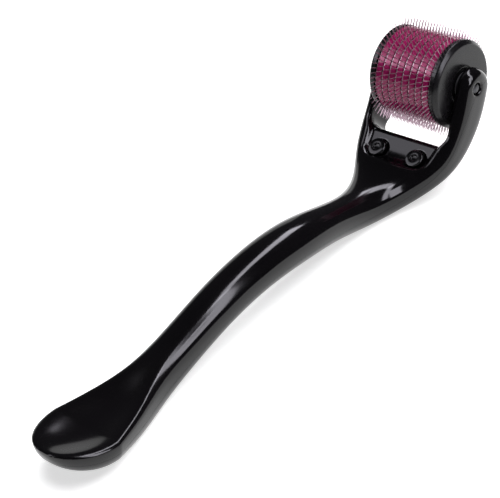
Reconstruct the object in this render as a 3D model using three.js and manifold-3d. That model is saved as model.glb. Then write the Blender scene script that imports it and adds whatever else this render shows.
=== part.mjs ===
// A derma roller: a drum of stacked needle discs that spins on an axle pin between the two
// arms of a fork, on a slim curved handle moulded as a front and a back shell.
// Millimetres, +Z up, +X along the axle, +Y from the tail of the handle to the drum.

import * as THREE from 'three';
import { mergeVertices } from 'three/addons/utils/BufferGeometryUtils.js';
import Module from 'manifold-3d';

// ---------- driving dimensions ----------

// Drum
const DISC_COUNT = 9;
const NEEDLES_PER_DISC = 60;
const DISC_PITCH = 2.0;
const DISC_THICKNESS = 0.3;
const NEEDLE_TIP_RADIUS = 13.1;
const NEEDLE_ROOT_RADIUS = 10.3;
const NEEDLE_PHASE_STEP = 1 / 3; // turn between neighbouring discs, in needle pitches
const SPACER_RADIUS = 10.6;
const FACE_GAP = 0.05; // between stacked faces
const HUB_RADIUS = 6.0;
const FIT_GAP = 0.3; // between pieces that sit inside each other
const CAP_RADIUS = 10.8;
const CAP_BEVEL = 0.9;
const CAP_OUTER_X = 10.3;
const SPIGOT_RADIUS = 4.2;
const SPIGOT_LENGTH = 2.2;

// Axle
const PIN_RADIUS = 2.0;
const PIN_HALF_LENGTH = 14.5;
const PIN_END_RADIUS = 1.3; // the thinner ends that show in the arms
const PIN_SHOULDER_X = 12.9;
const PIN_CHAMFER = 0.4;
const RUNNING_BORE_RADIUS = 2.1; // running clearance on the pin
const BUSH_RADIUS = 2.8;
const BUSH_OUTER_X = 13.2;
const FLANGE_RADIUS = 3.5;
const FLANGE_THICKNESS = 0.3;

// Fork
const HEAD_LEAN = THREE.MathUtils.degToRad(35); // arms lean forward from upright
const ARM_OUTER_X = 15.0;
const ARM_TIP_RADIUS = 5.2;
const BOSS_X = 10.8; // inner face of an arm at the axle
const BOSS_START = -5.5; // along the arms, where their inner faces turn parallel
const WINDOW_HALF_WIDTH = 11.6; // inner face of an arm at the web
const WINDOW_BOTTOM = -16.0; // from the axle, along the arms, at the middle of the web
const WINDOW_SLOPE = 0.27; // fall of the web's top edge towards the back
const WINDOW_CORNER = 2.6;
const POCKET_BOTTOM = -21.5;
const POCKET_CORNER = 2.2;
const POCKET_FLOOR = 2.7; // from the centre line of the web to its recessed front face
const POCKET_TOP = -9.8; // above the web, where the pocket's plan ends in the open window
const POCKET_SIDE_GAP = 0.2; // between the pocket's sides and the inner faces of the arms
const POCKET_SIDE_TAPER = 1.6;
const PEG_RADIUS = 2.35;
const PEG_X = 5.7;
const PEG_HEIGHT = -21.2; // from the axle, along the arms
const PEG_DEPTH = 4.4;
const PEG_PROUD = 1.3; // how far a peg's head stands out of the pocket's floor

// Handle
const WALL = 1.9;
const PARTING_GAP = 0.3;
const TAIL_ROUND = 12.2; // length of the rounded end of the tail
const TAIL_CURL = 0.009; // rise of the tail's tip, per square of the length beyond station 0
const FLOOR_DROP = 23.15; // from the axle down to the surface that the handle lies on
const AXLE_Y = 60.55; // puts the origin midway along the object

// Stations along the handle, from the tail to the axle. Each gives the centre line in the
// side view from the axle, the half width, the height above and below the centre line, the
// depth of the thumb dish in the top, the exponent that squares the section up, and how far
// the parting line lies above the centre line.
const STATIONS = [
  { y: -122.0, z: -16.4, half: 10.4, above: 1.7, below: 6.5, dish: 2.0, square: 2.6, part: -1.9 },
  { y: -113.0, z: -17.3, half: 7.9, above: 2.7, below: 6.0, dish: 1.7, square: 3.0, part: -1.6 },
  { y: -103.0, z: -17.2, half: 5.4, above: 3.8, below: 5.0, dish: 0.3, square: 2.9, part: -1.2 },
  { y: -92.0, z: -15.5, half: 5.0, above: 4.2, below: 4.4, dish: 0.0, square: 2.5, part: -1.0 },
  { y: -80.0, z: -13.3, half: 5.3, above: 4.4, below: 4.4, dish: 0.0, square: 2.3, part: -1.0 },
  { y: -67.0, z: -12.4, half: 5.7, above: 4.5, below: 4.5, dish: 0.0, square: 2.3, part: -1.0 },
  { y: -54.0, z: -13.5, half: 5.9, above: 4.5, below: 4.6, dish: 0.0, square: 2.3, part: -1.0 },
  { y: -43.0, z: -16.1, half: 5.2, above: 4.2, below: 4.2, dish: 0.0, square: 2.3, part: -0.9 },
  { y: -33.0, z: -18.6, half: 5.4, above: 4.2, below: 4.4, dish: 0.0, square: 2.3, part: -0.6 },
  { y: -24.0, z: -19.0, half: 8.0, above: 4.4, below: 4.5, dish: 0.0, square: 2.6, part: 0.0 },
  { y: -16.5, z: -17.0, half: 12.0, above: 4.3, below: 4.4, dish: 0.0, square: 3.2, part: 1.0 },
  { y: -9.7, z: -13.1, half: 14.4, above: 4.6, below: 5.2, dish: 0.0, square: 4.2, part: 1.9 },
  { y: -3.5, z: -7.0, half: 15.2, above: 4.9, below: 5.9, dish: 0.0, square: 5.6, part: 2.2 },
  { y: 0.5, z: -0.4, half: 15.3, above: 4.9, below: 6.0, dish: 0.0, square: 6.0, part: 0.0 },
];
const MOST_SQUARE_RISE = 3.4; // the sides of a section are never squarer than this exponent
const DISH_FALLOFF = 1.5; // exponent of the dish's fade towards the sides
const TAIL_FLATTENING = 0.8; // exponent that keeps the tail thick towards its tip
const HOLLOW_FROM = 0.25; // stations between which the handle is hollow
const HOLLOW_TO = 7.6;
const PARTING_END = { back: 7.0, along: 5.5 }; // from the axle, behind the arm tips

// Facets
const RING_POINTS = 28;
const RINGS_PER_STATION = 3;
const HOLLOW_POINTS = 16;
const HOLLOW_STEPS = 18;
const CAP_SEGMENTS = 30;
const SPACER_SEGMENTS = 24;
const PIN_SEGMENTS = 20;
const HUB_SEGMENTS = 16;
const CORNER_SEGMENTS = 5;

const BEYOND = 400; // larger than the whole object, for blocks that cut it

// ---------- materials ----------

function material(color, roughness, metalness) {
  return new THREE.MeshStandardMaterial({ color, roughness, metalness });
}

const glossBlack = material(0x0b0a0c, 0.12, 0.0);
const capBlack = material(0x17161a, 0.25, 0.0);
const magenta = material(0xb42d7d, 0.35, 0.0);
const needleSteel = material(0xc9c6cc, 0.3, 1.0);
const pinSteel = material(0xa9a9ad, 0.35, 1.0);
const bushBlack = material(0x1c1b1f, 0.5, 0.0);

// ---------- solids: joining and cutting ----------

const wasm = await Module();
wasm.setup();

function toSolid(geometry) {
  const bare = geometry.index ? geometry.toNonIndexed() : geometry.clone();
  bare.deleteAttribute('normal');
  bare.deleteAttribute('uv');
  const merged = mergeVertices(bare, 1e-4);
  const vertProperties = new Float32Array(merged.attributes.position.array);
  const triVerts = new Uint32Array(merged.index.array);
  return new wasm.Manifold(new wasm.Mesh({ numProp: 3, vertProperties, triVerts }));
}

function toGeometry(solid) {
  const mesh = solid.getMesh();
  const geometry = new THREE.BufferGeometry();
  geometry.setAttribute('position', new THREE.BufferAttribute(mesh.vertProperties, 3));
  geometry.setIndex(new THREE.BufferAttribute(mesh.triVerts, 1));
  geometry.computeVertexNormals();
  return geometry;
}

// ---------- small builders ----------

// A solid of revolution about X, from [x, radius] points in order of growing x on the outside.
// The profile closes on itself, or starts and ends on the axis. Side -1 turns it end for end.
function turned(profile, segments, side = 1) {
  const points = profile.map(([x, radius]) => new THREE.Vector2(radius, x));
  if (profile[0][1] > 0) points.push(points[0].clone());
  const geometry = new THREE.LatheGeometry(points, segments);
  geometry.rotateZ(-Math.PI / 2);
  if (side < 0) geometry.rotateZ(Math.PI);
  return geometry;
}

// A prism along X between -halfWidth and +halfWidth. The outline is in the side view, [y, z].
function sidePrism(outline, halfWidth) {
  const shape = new THREE.Shape(outline.map(([y, z]) => new THREE.Vector2(y, z)));
  const geometry = new THREE.ExtrudeGeometry(shape, { depth: 2 * halfWidth, bevelEnabled: false });
  geometry.translate(0, 0, -halfWidth);
  geometry.applyMatrix4(new THREE.Matrix4().makeBasis(
    new THREE.Vector3(0, 1, 0), new THREE.Vector3(0, 0, 1), new THREE.Vector3(1, 0, 0)));
  return geometry;
}

// Turns a solid drawn with X across, Y along the arms and Z out of the web's front face into
// its place in the leaning fork.
const headFrame = new THREE.Matrix4().makeBasis(
  new THREE.Vector3(1, 0, 0),
  new THREE.Vector3(0, Math.sin(HEAD_LEAN), Math.cos(HEAD_LEAN)),
  new THREE.Vector3(0, -Math.cos(HEAD_LEAN), Math.sin(HEAD_LEAN)));

// A side-view point given by its distance behind the arms' centre line and along the arms.
function headPoint(back, along) {
  return [
    back * Math.cos(HEAD_LEAN) + along * Math.sin(HEAD_LEAN),
    -back * Math.sin(HEAD_LEAN) + along * Math.cos(HEAD_LEAN),
  ];
}

// An outline whose corners are rounded by the radius given with each [x, y, radius].
function roundedShape(corners) {
  const shape = new THREE.Shape();
  corners.forEach(([x, y, radius], i) => {
    const corner = new THREE.Vector2(x, y);
    const before = corners[(i + corners.length - 1) % corners.length];
    const after = corners[(i + 1) % corners.length];
    const start = new THREE.Vector2(before[0], before[1]).sub(corner).setLength(radius).add(corner);
    const end = new THREE.Vector2(after[0], after[1]).sub(corner).setLength(radius).add(corner);
    if (i === 0) shape.moveTo(start.x, start.y);
    else shape.lineTo(start.x, start.y);
    if (radius > 0) shape.quadraticCurveTo(x, y, end.x, end.y);
  });
  shape.closePath();
  return shape;
}

// ---------- the handle's swept body ----------

// A value between stations, on a smooth curve through all of them.
function stationValue(key, place) {
  const last = STATIONS.length - 1;
  const i = Math.min(Math.floor(place), last - 1);
  const at = (k) => STATIONS[Math.min(Math.max(k, 0), last)][key];
  const t = place - i;
  const slopeIn = (at(i + 1) - at(i - 1)) / 2;
  const slopeOut = (at(i + 2) - at(i)) / 2;
  const t2 = t * t;
  const t3 = t2 * t;
  return (2 * t3 - 3 * t2 + 1) * at(i) + (t3 - 2 * t2 + t) * slopeIn
    + (3 * t2 - 2 * t3) * at(i + 1) + (t3 - t2) * slopeOut;
}

// The centre line's point and its unit tangent and upward normal at a place.
function centreLine(place) {
  const last = STATIONS.length - 1;
  const step = 0.01;
  const from = Math.max(place - step, 0);
  const to = Math.min(place + step, last);
  const tangent = new THREE.Vector2(
    stationValue('y', to) - stationValue('y', from),
    stationValue('z', to) - stationValue('z', from)).normalize();
  if (place === last) tangent.set(Math.sin(HEAD_LEAN), Math.cos(HEAD_LEAN));
  return {
    point: new THREE.Vector2(stationValue('y', place), stationValue('z', place)),
    tangent,
    normal: new THREE.Vector2(-tangent.y, tangent.x),
  };
}

// One ring of the swept body. The inset shrinks it by a wall; advance and scale make the
// rounded ends.
function sectionRing(place, points, { inset = 0, advance = 0, width = 1, depth = 1 } = {}) {
  const { point, tangent, normal } = centreLine(place);
  const half = (stationValue('half', place) - inset) * width;
  const above = stationValue('above', place) * depth;
  const below = stationValue('below', place) * depth;
  const dish = stationValue('dish', place) * depth;
  const square = stationValue('square', place);
  const riseSquare = Math.min(square, MOST_SQUARE_RISE);
  const ring = [];
  for (let k = 0; k < points; k += 1) {
    const angle = (k / points) * 2 * Math.PI;
    const across = Math.sign(Math.cos(angle)) * Math.abs(Math.cos(angle)) ** (2 / square);
    const rise = Math.sign(Math.sin(angle)) * Math.abs(Math.sin(angle)) ** (2 / riseSquare);
    const hollowed = dish * (1 - across * across) ** DISH_FALLOFF;
    let up = rise > 0 ? rise * above - hollowed * Math.min(1, rise * 2) : rise * below;
    if (inset > 0) {
      const top = above - dish - inset;
      const bottom = inset - below;
      up = (top + bottom) / 2 + rise * (top - bottom) / 2;
    }
    ring.push(new THREE.Vector3(
      across * half,
      point.x + tangent.x * advance + normal.x * up,
      point.y + tangent.y * advance + normal.y * up));
  }
  return ring;
}

// A closed skin over a row of rings, with a point in the middle of each end.
function skin(rings) {
  const count = rings[0].length;
  const vertices = rings.flat();
  const middle = (ring) => ring.reduce((sum, p) => sum.add(p), new THREE.Vector3()).divideScalar(count);
  const startPoint = vertices.push(middle(rings[0])) - 1;
  const endPoint = vertices.push(middle(rings[rings.length - 1])) - 1;
  const index = [];
  for (let i = 0; i < rings.length - 1; i += 1) {
    for (let k = 0; k < count; k += 1) {
      const next = (k + 1) % count;
      const a = i * count + k;
      const b = i * count + next;
      index.push(a, b + count, b, a, a + count, b + count);
    }
  }
  const lastRing = (rings.length - 1) * count;
  for (let k = 0; k < count; k += 1) {
    const next = (k + 1) % count;
    index.push(startPoint, k, next);
    index.push(endPoint, lastRing + next, lastRing + k);
  }
  const geometry = new THREE.BufferGeometry().setFromPoints(vertices);
  geometry.setIndex(index);
  return geometry;
}

function bodyRings() {
  const last = STATIONS.length - 1;
  const rings = [];
  const tailTurns = [88, 74, 58, 42, 26, 12];
  for (const turn of tailTurns) {
    const angle = THREE.MathUtils.degToRad(turn);
    const lift = TAIL_ROUND * Math.sin(angle);
    const ring = sectionRing(0, RING_POINTS, {
      advance: -lift, width: Math.cos(angle), depth: Math.cos(angle) ** TAIL_FLATTENING,
    });
    // the tail curls up towards its tip
    ring.forEach((p) => { p.z += TAIL_CURL * lift * lift; });
    rings.push(ring);
  }
  for (let i = 0; i <= last * RINGS_PER_STATION; i += 1) {
    rings.push(sectionRing(i / RINGS_PER_STATION, RING_POINTS));
  }
  const tipTurns = [20, 40, 58, 74, 86];
  for (const turn of tipTurns) {
    const angle = THREE.MathUtils.degToRad(turn);
    rings.push(sectionRing(last, RING_POINTS, {
      advance: ARM_TIP_RADIUS * Math.sin(angle), depth: Math.cos(angle),
    }));
  }
  return rings;
}

function hollowRings() {
  const rings = [];
  for (let i = 0; i <= HOLLOW_STEPS; i += 1) {
    const station = THREE.MathUtils.lerp(HOLLOW_FROM, HOLLOW_TO, i / HOLLOW_STEPS);
    rings.push(sectionRing(station, HOLLOW_POINTS, { inset: WALL }));
  }
  return rings;
}

// The parting line in the side view: it follows the centre line from beyond the tail to the
// arms, then turns through the axle to the back of the arm tips.
function partingLine() {
  const line = [];
  const start = centreLine(0);
  const tailDrop = STATIONS[0].part;
  const reachesPastTail = [16, 11, 5.5];
  for (const reach of reachesPastTail) {
    line.push([
      start.point.x - start.tangent.x * reach + start.normal.x * tailDrop,
      start.point.y - start.tangent.y * reach + start.normal.y * tailDrop + TAIL_CURL * reach * reach,
    ]);
  }
  const lastPlace = STATIONS.length - 2;
  for (let i = 0; i <= lastPlace * 2; i += 1) {
    const place = i / 2;
    const { point, normal } = centreLine(place);
    const offset = stationValue('part', place);
    line.push([point.x + normal.x * offset, point.y + normal.y * offset]);
  }
  line.push([0, 0]);
  line.push(headPoint(PARTING_END.back, PARTING_END.along));
  return line;
}

// A thin sheet along the parting line, wide enough to cut the whole body in two.
function partingSheet() {
  const line = partingLine().map(([y, z]) => new THREE.Vector2(y, z));
  const sides = [[], []];
  line.forEach((p, i) => {
    const before = line[Math.max(i - 1, 0)];
    const after = line[Math.min(i + 1, line.length - 1)];
    const along = after.clone().sub(before).normalize();
    const off = new THREE.Vector2(-along.y, along.x).multiplyScalar(PARTING_GAP / 2);
    sides[0].push([p.x + off.x, p.y + off.y]);
    sides[1].unshift([p.x - off.x, p.y - off.y]);
  });
  return toSolid(sidePrism([...sides[0], ...sides[1]], 2 * ARM_OUTER_X));
}

// The window between the arms, open at the tips.
function windowCut() {
  const top = 3 * ARM_TIP_RADIUS;
  const shape = roundedShape([
    [-WINDOW_HALF_WIDTH, WINDOW_BOTTOM, WINDOW_CORNER],
    [WINDOW_HALF_WIDTH, WINDOW_BOTTOM, WINDOW_CORNER],
    [BOSS_X, BOSS_START, 0],
    [BOSS_X, top, 0],
    [-BOSS_X, top, 0],
    [-BOSS_X, BOSS_START, 0],
  ]);
  const depth = 40;
  const geometry = new THREE.ExtrudeGeometry(shape, {
    depth, bevelEnabled: false, curveSegments: CORNER_SEGMENTS,
  });
  geometry.translate(0, 0, -depth / 2);
  geometry.applyMatrix4(new THREE.Matrix4().makeShear(0, 0, 0, 0, 0, WINDOW_SLOPE));
  geometry.applyMatrix4(headFrame);
  return toSolid(geometry);
}

// The shallow pocket in the front of the web, with the arms' edges standing proud beside it.
function pocketCut() {
  const top = WINDOW_HALF_WIDTH - POCKET_SIDE_GAP;
  const bottom = top - POCKET_SIDE_TAPER;
  const plan = roundedShape([
    [-bottom, POCKET_BOTTOM, POCKET_CORNER],
    [bottom, POCKET_BOTTOM, POCKET_CORNER],
    [top, POCKET_TOP, 0],
    [-top, POCKET_TOP, 0],
  ]);
  const geometry = new THREE.ExtrudeGeometry(plan, {
    depth: 30, bevelEnabled: false, curveSegments: CORNER_SEGMENTS,
  });
  geometry.translate(0, 0, -8);
  geometry.applyMatrix4(headFrame);
  const outOfFront = 9;
  const webStations = [9.0, 9.5, 10, 10.5, 11, 11.5, 12];
  const floor = [];
  const far = [];
  for (const station of webStations) {
    const { point, normal } = centreLine(station);
    floor.push([point.x + normal.x * POCKET_FLOOR, point.y + normal.y * POCKET_FLOOR]);
    far.unshift([point.x + normal.x * outOfFront, point.y + normal.y * outOfFront]);
  }
  return toSolid(geometry).intersect(toSolid(sidePrism([...floor, ...far], ARM_OUTER_X)));
}

// Where the pegs stand in the web: the side-view point and the direction out of the front.
function pegPlace() {
  let best = centreLine(10);
  for (let place = 9; place < 12; place += 0.02) {
    const here = centreLine(place);
    const along = here.point.x * Math.sin(HEAD_LEAN) + here.point.y * Math.cos(HEAD_LEAN);
    if (along < PEG_HEIGHT) best = here;
  }
  return best;
}

function pegGeometry(side, radius, depth, proud) {
  const { point, normal } = pegPlace();
  const geometry = new THREE.CylinderGeometry(radius, radius, depth + proud, PIN_SEGMENTS);
  geometry.translate(0, POCKET_FLOOR + (proud - depth) / 2, 0);
  geometry.rotateX(Math.atan2(normal.y, normal.x));
  geometry.translate(side * PEG_X, point.x, point.y);
  return geometry;
}

function axleSeat(side) {
  const inner = BOSS_X - 2;
  const bushEnd = BUSH_OUTER_X + FACE_GAP * 2;
  return toSolid(turned([
    [inner, 0],
    [inner, BUSH_RADIUS + FIT_GAP],
    [bushEnd, BUSH_RADIUS + FIT_GAP],
    [bushEnd, PIN_END_RADIUS + FIT_GAP],
    [2 * ARM_OUTER_X, PIN_END_RADIUS + FIT_GAP],
    [2 * ARM_OUTER_X, 0],
  ], PIN_SEGMENTS, side));
}

// The whole moulding, cut into its back and front shells; the back one holds more plastic.
function handleShells() {
  let body = toSolid(skin(bodyRings()));
  const below = new THREE.BoxGeometry(BEYOND, BEYOND, BEYOND);
  below.translate(0, 0, -FLOOR_DROP - BEYOND / 2);
  body = body.subtract(toSolid(below));
  const outOfFront = 6;
  for (const side of [-1, 1]) {
    const cheek = new THREE.BoxGeometry(BEYOND, BEYOND, BEYOND);
    cheek.translate(side * (ARM_OUTER_X + BEYOND / 2), 0, 0);
    body = body.subtract(toSolid(cheek));
    body = body.subtract(axleSeat(side));
    const pegHole = pegGeometry(side, PEG_RADIUS + FIT_GAP, PEG_DEPTH + FIT_GAP, outOfFront);
    body = body.subtract(toSolid(pegHole));
  }
  body = body.subtract(windowCut());
  body = body.subtract(pocketCut());
  body = body.subtract(toSolid(skin(hollowRings())));
  const shells = body.subtract(partingSheet()).decompose();
  return shells.sort((a, b) => b.volume() - a.volume());
}

// ---------- the drum ----------

// A flat steel ring with a pointed needle at every pitch around its rim.
function needleDisc(number) {
  const pitch = (2 * Math.PI) / NEEDLES_PER_DISC;
  const phase = number * NEEDLE_PHASE_STEP * pitch;
  const shape = new THREE.Shape();
  for (let k = 0; k < NEEDLES_PER_DISC; k += 1) {
    const root = (k - 0.5) * pitch + phase;
    const tip = k * pitch + phase;
    const start = [NEEDLE_ROOT_RADIUS * Math.cos(root), NEEDLE_ROOT_RADIUS * Math.sin(root)];
    if (k === 0) shape.moveTo(...start);
    else shape.lineTo(...start);
    shape.lineTo(NEEDLE_TIP_RADIUS * Math.cos(tip), NEEDLE_TIP_RADIUS * Math.sin(tip));
  }
  shape.closePath();
  const bore = new THREE.Path();
  bore.absarc(0, 0, HUB_RADIUS + FIT_GAP, 0, 2 * Math.PI, true);
  shape.holes.push(bore);
  const geometry = new THREE.ExtrudeGeometry(shape, {
    depth: DISC_THICKNESS, bevelEnabled: false, curveSegments: 2 * CORNER_SEGMENTS,
  });
  geometry.translate(0, 0, -DISC_THICKNESS / 2);
  geometry.rotateY(Math.PI / 2);
  return geometry;
}

function spacerRing() {
  const half = (DISC_PITCH - DISC_THICKNESS) / 2 - FACE_GAP;
  return turned([
    [-half, SPACER_RADIUS],
    [half, SPACER_RADIUS],
    [half, HUB_RADIUS + FIT_GAP],
    [-half, HUB_RADIUS + FIT_GAP],
  ], SPACER_SEGMENTS);
}

const STACK_HALF = (DISC_COUNT - 1) / 2 * DISC_PITCH + DISC_THICKNESS / 2;
const CAP_INNER_X = STACK_HALF + FACE_GAP;

// A bevelled cap that closes one end of the drum, with a spigot that plugs into the hub.
function endCap(side) {
  return turned([
    [CAP_INNER_X, CAP_RADIUS],
    [CAP_OUTER_X - CAP_BEVEL, CAP_RADIUS],
    [CAP_OUTER_X, CAP_RADIUS - CAP_BEVEL],
    [CAP_OUTER_X, RUNNING_BORE_RADIUS],
    [CAP_INNER_X - SPIGOT_LENGTH, RUNNING_BORE_RADIUS],
    [CAP_INNER_X - SPIGOT_LENGTH, SPIGOT_RADIUS],
    [CAP_INNER_X, SPIGOT_RADIUS],
  ], CAP_SEGMENTS, side);
}

// The tube that carries the discs and spacers, counterbored at both ends for the caps.
function hubCore() {
  const end = STACK_HALF;
  const seat = CAP_INNER_X - SPIGOT_LENGTH - FIT_GAP;
  return turned([
    [-end, HUB_RADIUS],
    [end, HUB_RADIUS],
    [end, SPIGOT_RADIUS + FIT_GAP],
    [seat, SPIGOT_RADIUS + FIT_GAP],
    [seat, RUNNING_BORE_RADIUS + FIT_GAP],
    [-seat, RUNNING_BORE_RADIUS + FIT_GAP],
    [-seat, SPIGOT_RADIUS + FIT_GAP],
    [-end, SPIGOT_RADIUS + FIT_GAP],
  ], HUB_SEGMENTS);
}

// ---------- the axle ----------

// The pin steps down to thinner, chamfered ends.
function axlePin() {
  return turned([
    [-PIN_HALF_LENGTH, 0],
    [-PIN_HALF_LENGTH, PIN_END_RADIUS - PIN_CHAMFER],
    [-PIN_HALF_LENGTH + PIN_CHAMFER, PIN_END_RADIUS],
    [-PIN_SHOULDER_X, PIN_END_RADIUS],
    [-PIN_SHOULDER_X, PIN_RADIUS],
    [PIN_SHOULDER_X, PIN_RADIUS],
    [PIN_SHOULDER_X, PIN_END_RADIUS],
    [PIN_HALF_LENGTH - PIN_CHAMFER, PIN_END_RADIUS],
    [PIN_HALF_LENGTH, PIN_END_RADIUS - PIN_CHAMFER],
    [PIN_HALF_LENGTH, 0],
  ], PIN_SEGMENTS);
}

// A flanged bush between the pin and one arm; its flange keeps the drum off the arm.
function axleBush(side) {
  const flangeOuter = BOSS_X - FACE_GAP;
  const flangeInner = flangeOuter - FLANGE_THICKNESS;
  return turned([
    [flangeInner, FLANGE_RADIUS],
    [flangeOuter, FLANGE_RADIUS],
    [flangeOuter, BUSH_RADIUS],
    [BUSH_OUTER_X, BUSH_RADIUS],
    [BUSH_OUTER_X, RUNNING_BORE_RADIUS],
    [flangeInner, RUNNING_BORE_RADIUS],
  ], PIN_SEGMENTS, side);
}

// ---------- assembly ----------

const dermaRoller = new THREE.Group();
dermaRoller.position.set(0, AXLE_Y, FLOOR_DROP);

function addPiece(name, geometry, finish, x = 0) {
  const mesh = new THREE.Mesh(geometry, finish);
  mesh.name = name;
  mesh.position.x = x;
  dermaRoller.add(mesh);
}

const [backShell, frontShell] = handleShells();
addPiece('handle_front_shell', toGeometry(frontShell), glossBlack);
addPiece('handle_back_shell', toGeometry(backShell), glossBlack);
addPiece('axle_pin', axlePin(), pinSteel);
for (const [word, side] of [['left', -1], ['right', 1]]) {
  addPiece(`lock_peg_${word}`, pegGeometry(side, PEG_RADIUS, PEG_DEPTH, PEG_PROUD), glossBlack);
  addPiece(`axle_bush_${word}`, axleBush(side), bushBlack);
  addPiece(`end_cap_${word}`, endCap(side), capBlack);
}
addPiece('hub_core', hubCore(), magenta);
for (let i = 0; i < DISC_COUNT; i += 1) {
  const x = (i - (DISC_COUNT - 1) / 2) * DISC_PITCH;
  addPiece(`needle_disc_${i + 1}`, needleDisc(i), needleSteel, x);
  if (i < DISC_COUNT - 1) {
    addPiece(`spacer_ring_${i + 1}`, spacerRing(), magenta, x + DISC_PITCH / 2);
  }
}

export default dermaRoller;
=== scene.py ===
"""Looks for the derma roller: moulded gloss shells, a magenta drum of steel needle discs, and a studio."""

import math

import bpy
import numpy as np
from mathutils import Matrix, Vector


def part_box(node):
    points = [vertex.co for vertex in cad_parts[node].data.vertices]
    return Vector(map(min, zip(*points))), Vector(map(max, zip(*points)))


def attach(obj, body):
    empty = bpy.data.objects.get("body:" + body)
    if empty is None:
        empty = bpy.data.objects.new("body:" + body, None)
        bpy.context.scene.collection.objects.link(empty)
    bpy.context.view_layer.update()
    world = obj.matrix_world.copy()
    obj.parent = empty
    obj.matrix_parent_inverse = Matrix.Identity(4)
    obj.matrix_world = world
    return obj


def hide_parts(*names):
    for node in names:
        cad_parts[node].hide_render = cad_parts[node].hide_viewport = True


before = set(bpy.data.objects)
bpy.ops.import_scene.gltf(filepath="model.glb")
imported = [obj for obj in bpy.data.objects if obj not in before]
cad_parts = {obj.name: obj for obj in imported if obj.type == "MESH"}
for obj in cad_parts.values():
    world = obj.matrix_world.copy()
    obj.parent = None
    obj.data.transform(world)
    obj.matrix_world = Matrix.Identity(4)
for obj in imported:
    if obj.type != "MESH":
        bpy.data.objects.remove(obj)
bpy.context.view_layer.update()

MM = 0.001


# ---------- places taken from the frame, in millimetres ----------

def node_box(node):
    low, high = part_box(node)
    return np.array(low) / MM, np.array(high) / MM


def numbered_nodes(prefix):
    """The frame's nodes that start with a prefix, in the order of their numbers."""
    names = [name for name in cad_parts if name.startswith(prefix)]
    return sorted(names, key=lambda name: int(name.removeprefix(prefix)))


pin_low, pin_high = node_box("axle_pin")
AXLE = (pin_low + pin_high) / 2
FLOOR_DROP = AXLE[2]
disc_names = numbered_nodes("needle_disc_")
ring_names = numbered_nodes("spacer_ring_")

# ---------- the handle's design dimensions, as in the CAD, in millimetres from the axle ----------

HEAD_LEAN = math.radians(35)
ARM_OUTER_X = 15.0
ARM_TIP_RADIUS = 5.2
BOSS_X = 10.8
BOSS_START = -5.5
WINDOW_HALF_WIDTH = 11.6
WINDOW_BOTTOM = -16.0
WINDOW_SLOPE = 0.27
POCKET_BOTTOM = -21.5
POCKET_TOP = -9.8
POCKET_CORNER = 2.2
POCKET_FLOOR = 2.7
POCKET_INSET = 0.2
PEG_RADIUS = 2.35
PEG_X = 5.7
PEG_HEIGHT = -21.2
PEG_PROUD = 1.3
PEG_DEPTH = 4.4
TAIL_ROUND = 12.2
TAIL_CURL = 0.009
BUSH_SEAT_END = 13.3
PARTING_END_BEHIND = 7.0
PARTING_END_ALONG = 5.5

# ---------- handle dimensions that are only for looks, or differ a little from the CAD's ----------

WINDOW_TOP = 30.0
WINDOW_CORNER = 2.8
POCKET_TAPER = 0.2
POCKET_TAPER_LENGTH = 20
PEG_GAP = 0.16
PEG_HOLE_DEPTH = 1.6
PIN_HOLE_RADIUS = 1.45

# The seat leaves a wall all round it at the arm's rounded front
BUSH_SEAT_RADIUS = 2.5

# How wide each edge is rounded
FLOOR_BLEND = 0.4
ARM_BLEND = 1.8
WINDOW_BLEND = 1.5
POCKET_FLOOR_BLEND = 1.2
POCKET_RIM_BLEND = 1.3
PIN_HOLE_BLEND = 0.6
BUSH_SEAT_BLEND = 0.3
PEG_HOLE_BLEND = 0.5

# ---------- the stations along the handle, as in the CAD ----------

# y, z, half width, height above, height below, thumb dish, squareness, parting line offset
STATIONS = np.array([
    (-122.0, -16.4, 10.4, 1.7, 6.5, 2.0, 2.6, -1.9),
    (-113.0, -17.3, 7.9, 2.7, 6.0, 1.7, 3.0, -1.6),
    (-103.0, -17.2, 5.4, 3.8, 5.0, 0.3, 2.9, -1.2),
    (-92.0, -15.5, 5.0, 4.2, 4.4, 0.0, 2.5, -1.0),
    (-80.0, -13.3, 5.3, 4.4, 4.4, 0.0, 2.3, -1.0),
    (-67.0, -12.4, 5.7, 4.5, 4.5, 0.0, 2.3, -1.0),
    (-54.0, -13.5, 5.9, 4.5, 4.6, 0.0, 2.3, -1.0),
    (-43.0, -16.1, 5.2, 4.2, 4.2, 0.0, 2.3, -0.9),
    (-33.0, -18.6, 5.4, 4.2, 4.4, 0.0, 2.3, -0.6),
    (-24.0, -19.0, 8.0, 4.4, 4.5, 0.0, 2.6, 0.0),
    (-16.5, -17.0, 12.0, 4.3, 4.4, 0.0, 3.2, 1.0),
    (-9.7, -13.1, 14.4, 4.6, 5.2, 0.0, 4.2, 1.9),
    (-3.5, -7.0, 15.2, 4.9, 5.9, 0.0, 5.6, 2.2),
    (0.5, -0.4, 15.3, 4.9, 6.0, 0.0, 6.0, 0.0),
])
SIDE_COLUMNS = slice(0, 2)
SECTION_COLUMNS = slice(2, 7)
PARTING_COLUMN = 7
LAST = len(STATIONS) - 1

# Places along the stations, counted from the tail
HEAD_START = 8.6
WEB_START = 8.5
WEB_END = 12
WEB_GUESSES = 800


# ---------- smooth curves through the stations ----------

GUESSES_PER_SPAN = 8
POINTS_AT_ONCE = 20000
REFINING_ROUNDS = 4


def spline_bends(values):
    """Second derivatives of the natural cubic spline through evenly spaced rows."""
    count = len(values)
    system = np.eye(count)
    right = np.zeros_like(values)
    for i in range(1, count - 1):
        system[i, i - 1:i + 2] = (1, 4, 1)
        right[i] = 6 * (values[i + 1] - 2 * values[i] + values[i - 1])
    return np.linalg.solve(system, right)


BENDS = spline_bends(STATIONS)


def station_span(place):
    """The station before each place, and the shares of the next station and of this one."""
    place = np.clip(place, 0, LAST)
    before = np.minimum(place.astype(int), LAST - 1)
    t = (place - before)[..., None]
    return before, t, 1 - t


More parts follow.
